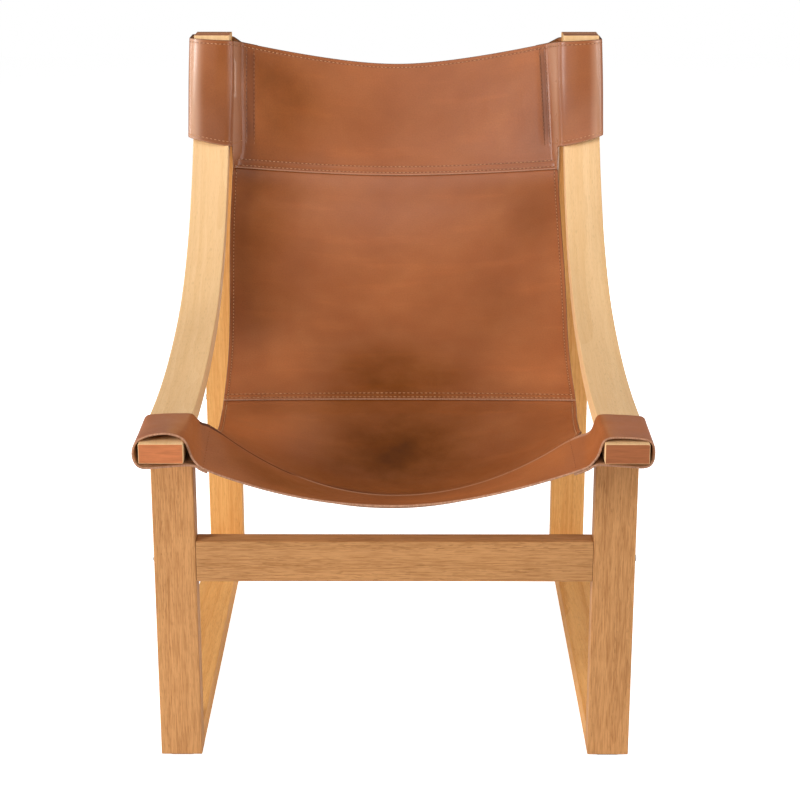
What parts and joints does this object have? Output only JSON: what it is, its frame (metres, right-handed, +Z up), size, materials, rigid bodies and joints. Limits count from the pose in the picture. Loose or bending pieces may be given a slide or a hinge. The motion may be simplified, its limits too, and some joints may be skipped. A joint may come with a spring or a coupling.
{
  "type": "lounge chair",
  "caption": "Low lounge chair with a stitched leather sling hung between curved wooden side frames that stand on floor runners.",
  "frame": {"origin": "on the floor, midway across the chair and midway from front to back", "axes": "+X to the right as seen from in front of the chair, +Y to its back, +Z up"},
  "size_m": [0.651, 0.8612, 0.895],
  "materials": {
    "rail_wood": "pale honey hardwood, oiled, fine straight grain",
    "front_leg_wood": "medium brown hardwood, oiled, short dark pores",
    "rear_leg_wood": "light orange-brown hardwood, oiled, arched grain",
    "joinery_wood": "bare beech, unfinished",
    "leather": "saddle tan leather with a soft sheen, pale cut edges, tan thread",
    "steel": "zinc-plated steel",
    "brass": "plain brass",
    "glide": "dark brown pad, matt"
  },
  "bodies": {
    "root": {"rail_left": "rail_wood", "front_leg_left": "front_leg_wood", "rear_leg_left": "rear_leg_wood", "runner_left": "rear_leg_wood", "rail_tenon_left": "joinery_wood", "front_runner_tenon_left": "joinery_wood", "rear_runner_tenon_left": "joinery_wood", "front_glide_left": "glide", "front_bolt_left": "steel", "front_barrel_nut_left": "brass", "front_dowel_left_lower": "joinery_wood", "front_dowel_left_upper": "joinery_wood", "rear_glide_left": "glide", "rear_bolt_left": "steel", "rear_barrel_nut_left": "brass", "rear_dowel_left_lower": "joinery_wood", "rear_dowel_left_upper": "joinery_wood", "rail_screw_left_1": "steel", "rail_screw_left_2": "steel", "rail_right": "rail_wood", "front_leg_right": "front_leg_wood", "rear_leg_right": "rear_leg_wood", "runner_right": "rear_leg_wood", "rail_tenon_right": "joinery_wood", "front_runner_tenon_right": "joinery_wood", "rear_runner_tenon_right": "joinery_wood", "front_glide_right": "glide", "front_bolt_right": "steel", "front_barrel_nut_right": "brass", "front_dowel_right_lower": "joinery_wood", "front_dowel_right_upper": "joinery_wood", "rear_glide_right": "glide", "rear_bolt_right": "steel", "rear_barrel_nut_right": "brass", "rear_dowel_right_lower": "joinery_wood", "rear_dowel_right_upper": "joinery_wood", "rail_screw_right_1": "steel", "rail_screw_right_2": "steel", "front_stretcher": "front_leg_wood", "rear_stretcher": "rear_leg_wood", "head_band": "leather", "back_panel": "leather", "seat_panel": "leather", "front_band": "leather"}
  },
  "joints": []
}
